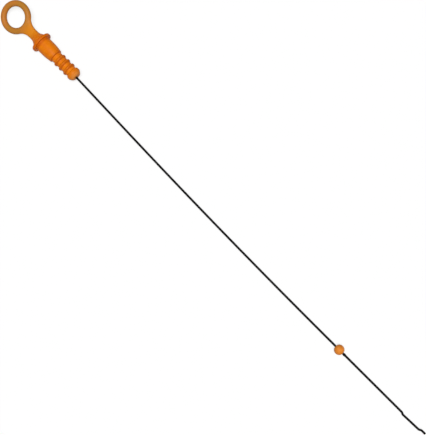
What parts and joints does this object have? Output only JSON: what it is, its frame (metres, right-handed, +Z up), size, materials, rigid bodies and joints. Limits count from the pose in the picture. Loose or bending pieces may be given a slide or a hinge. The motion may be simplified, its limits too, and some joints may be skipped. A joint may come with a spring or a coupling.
{
  "type": "engine oil dipstick",
  "caption": "Engine oil dipstick with a moulded finger ring, ribbed push-in stopper, long wire rod, guide bead and stepped level marks near the tip.",
  "frame": {"origin": "middle of the stopper's grip, from its first sealing lip to its end collar, on the stopper's axis", "axes": "+X along the stopper's axis towards the tip, +Z up from the ground that the dipstick lies on, +Y towards the high side of the ring"},
  "size_m": [0.594, 0.0292, 0.0226],
  "materials": {
    "handle": "satin",
    "rod": "satin",
    "bead": "satin"
  },
  "bodies": {
    "root": {"handle": "handle", "rod": "rod", "bead": "bead"}
  },
  "joints": []
}
